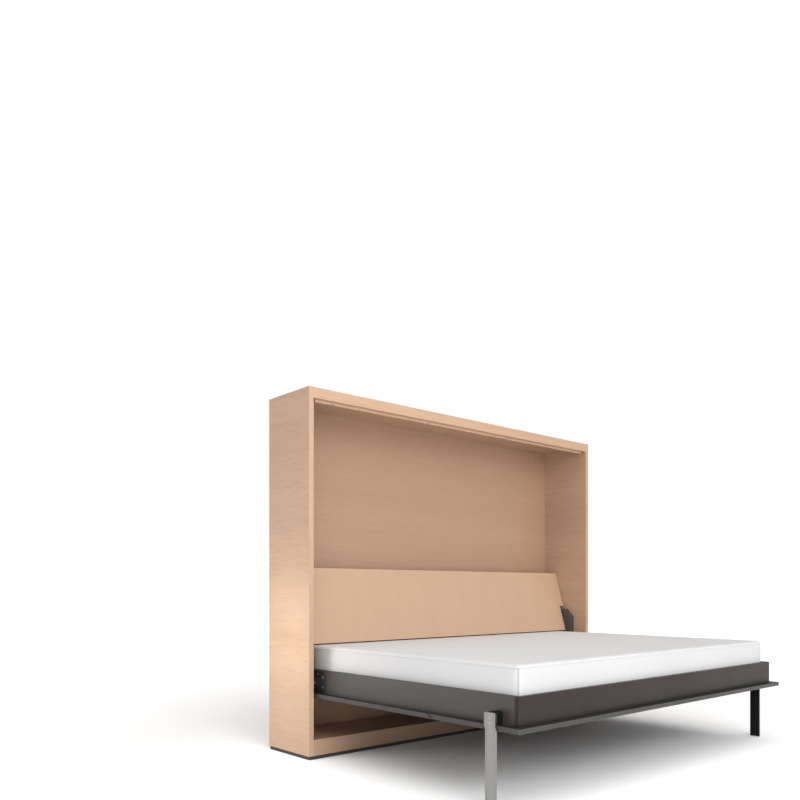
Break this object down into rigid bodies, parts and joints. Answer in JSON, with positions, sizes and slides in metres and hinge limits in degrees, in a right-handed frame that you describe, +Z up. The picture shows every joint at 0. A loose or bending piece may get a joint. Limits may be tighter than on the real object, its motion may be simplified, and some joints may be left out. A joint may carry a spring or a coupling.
{
  "type": "horizontal murphy wall bed",
  "caption": "Horizontal wall bed: a shallow wall cabinet whose door panel carries a mattress tray and tilts down on side pivots onto folding metal legs.",
  "frame": {"origin": "on the floor, in the middle of the opened bed's bounding box", "axes": "+X to the right seen from the front, +Y into the wall, +Z up; the bed is stored open, standing on its legs"},
  "size_m": [2.1, 1.612, 1.719],
  "materials": {
    "light_wood": "satin beech-look board, fine grain",
    "dark_laminate": "satin dark grey-brown laminate",
    "slat_wood": "planed birch",
    "mattress_cloth": "white quilted ticking",
    "black_steel": "satin black powder coat",
    "leg_steel": "brushed, vertical grain",
    "sand_steel": "sand-coloured powder coat",
    "bright_zinc": "zinc plated",
    "strut_black": "gloss black",
    "strut_chrome": "polished rod",
    "black_plastic": "moulded, fine texture",
    "grey_plastic": "moulded, fine texture",
    "clear_rubber": "soft bumper"
  },
  "bodies": {
    "cabinet": {"side_board_left": "light_wood", "side_board_right": "light_wood", "top_board": "light_wood", "top_rail": "light_wood", "door_stop_batten": "light_wood", "stop_bumpers": "clear_rubber", "floor_board": "light_wood", "plinth_front": "light_wood", "plinth_rear": "light_wood", "back_panel_lower": "light_wood", "back_panel_upper": "light_wood", "wall_bracket_left": "sand_steel", "wall_bracket_right": "sand_steel", "wall_bracket_screws": "bright_zinc", "base_strips": "black_plastic", "mechanism_plate_left": "black_steel", "mechanism_plate_right": "black_steel", "mechanism_cover_left": "black_steel", "mechanism_cover_right": "black_steel", "pivot_pin_left": "bright_zinc", "pivot_pin_right": "bright_zinc", "mechanism_screws": "bright_zinc", "strut_upper_studs": "bright_zinc", "backboard_hinge_left": "sand_steel", "backboard_hinge_right": "sand_steel"},
    "bed": {"front_panel": "dark_laminate", "lower_black_strip": "black_plastic", "tray_rail_front": "dark_laminate", "tray_rail_rear": "dark_laminate", "tray_rail_left": "dark_laminate", "tray_rail_right": "dark_laminate", "slat_ledge_front": "slat_wood", "slat_ledge_rear": "slat_wood", "centre_beam": "slat_wood", "bed_slats": "slat_wood", "mattress": "mattress_cloth", "bed_arm_left": "black_steel", "bed_arm_right": "black_steel", "bed_arm_screws": "bright_zinc", "pivot_bush_left": "black_plastic", "pivot_bush_right": "black_plastic", "backboard_pusher_left": "black_steel", "backboard_pusher_right": "black_steel", "leg_bracket_left": "black_steel", "leg_bracket_right": "black_steel", "leg_cheek_plate_left": "leg_steel", "leg_cheek_plate_right": "leg_steel", "cheek_plate_screws": "bright_zinc", "leg_catches": "black_plastic"},
    "leg_left": {"leg_bar_left": "leg_steel", "leg_foot_left": "grey_plastic"},
    "strut_tube_left": {"strut_cylinder_left": "strut_black"},
    "strut_plunger_left": {"strut_rod_left": "strut_chrome"},
    "leg_right": {"leg_bar_right": "leg_steel", "leg_foot_right": "grey_plastic"},
    "strut_tube_right": {"strut_cylinder_right": "strut_black"},
    "strut_plunger_right": {"strut_rod_right": "strut_chrome"},
    "leaning_board": {"backboard": "light_wood"}
  },
  "joints": [
    {"name": "bed_tilt", "type": "hinge", "parent": "cabinet", "child": "bed", "pos_m": [0, 0.511, 0.346], "axis": [-1, 0, 0], "range_deg": [0, 90]},
    {"name": "leg_swing_left", "type": "hinge", "parent": "bed", "child": "leg_left", "pos_m": [-1.0166, -0.675, 0.32], "axis": [1, 0, 0], "range_deg": [0, 90]},
    {"name": "leg_swing_right", "type": "hinge", "parent": "bed", "child": "leg_right", "pos_m": [1.0166, -0.675, 0.32], "axis": [1, 0, 0], "range_deg": [0, 90]},
    {"name": "backboard_lean", "type": "hinge", "parent": "cabinet", "child": "leaning_board", "pos_m": [0, 0.698, 0.881], "axis": [1, 0, 0], "range_deg": [0, 17.01]},
    {"name": "strut_swing_left", "type": "hinge", "parent": "cabinet", "child": "strut_tube_left", "pos_m": [-1.001, 0.614, 0.624], "axis": [-1, 0, 0], "range_deg": [0, 8.94]},
    {"name": "strut_stroke_left", "type": "slide", "parent": "strut_tube_left", "child": "strut_plunger_left", "axis": [0, -0.1354, -0.9908], "range_m": [0, 0.07765]},
    {"name": "strut_swing_right", "type": "hinge", "parent": "cabinet", "child": "strut_tube_right", "pos_m": [1.001, 0.614, 0.624], "axis": [-1, 0, 0], "range_deg": [0, 8.94]},
    {"name": "strut_stroke_right", "type": "slide", "parent": "strut_tube_right", "child": "strut_plunger_right", "axis": [0, -0.1354, -0.9908], "range_m": [0, 0.07765]}
  ],
  "couplings": [
    {"joint": "leg_swing_left", "follows": "bed_tilt", "ratio": 1},
    {"joint": "leg_swing_right", "follows": "bed_tilt", "ratio": 1},
    {"joint": "backboard_lean", "follows": "bed_tilt", "ratio": 0.18889},
    {"joint": "strut_swing_left", "follows": "bed_tilt", "ratio": 0.099233},
    {"joint": "strut_stroke_left", "follows": "bed_tilt", "m_per_rad": 0.049367},
    {"joint": "strut_swing_right", "follows": "bed_tilt", "ratio": 0.099233},
    {"joint": "strut_stroke_right", "follows": "bed_tilt", "m_per_rad": 0.049367}
  ]
}
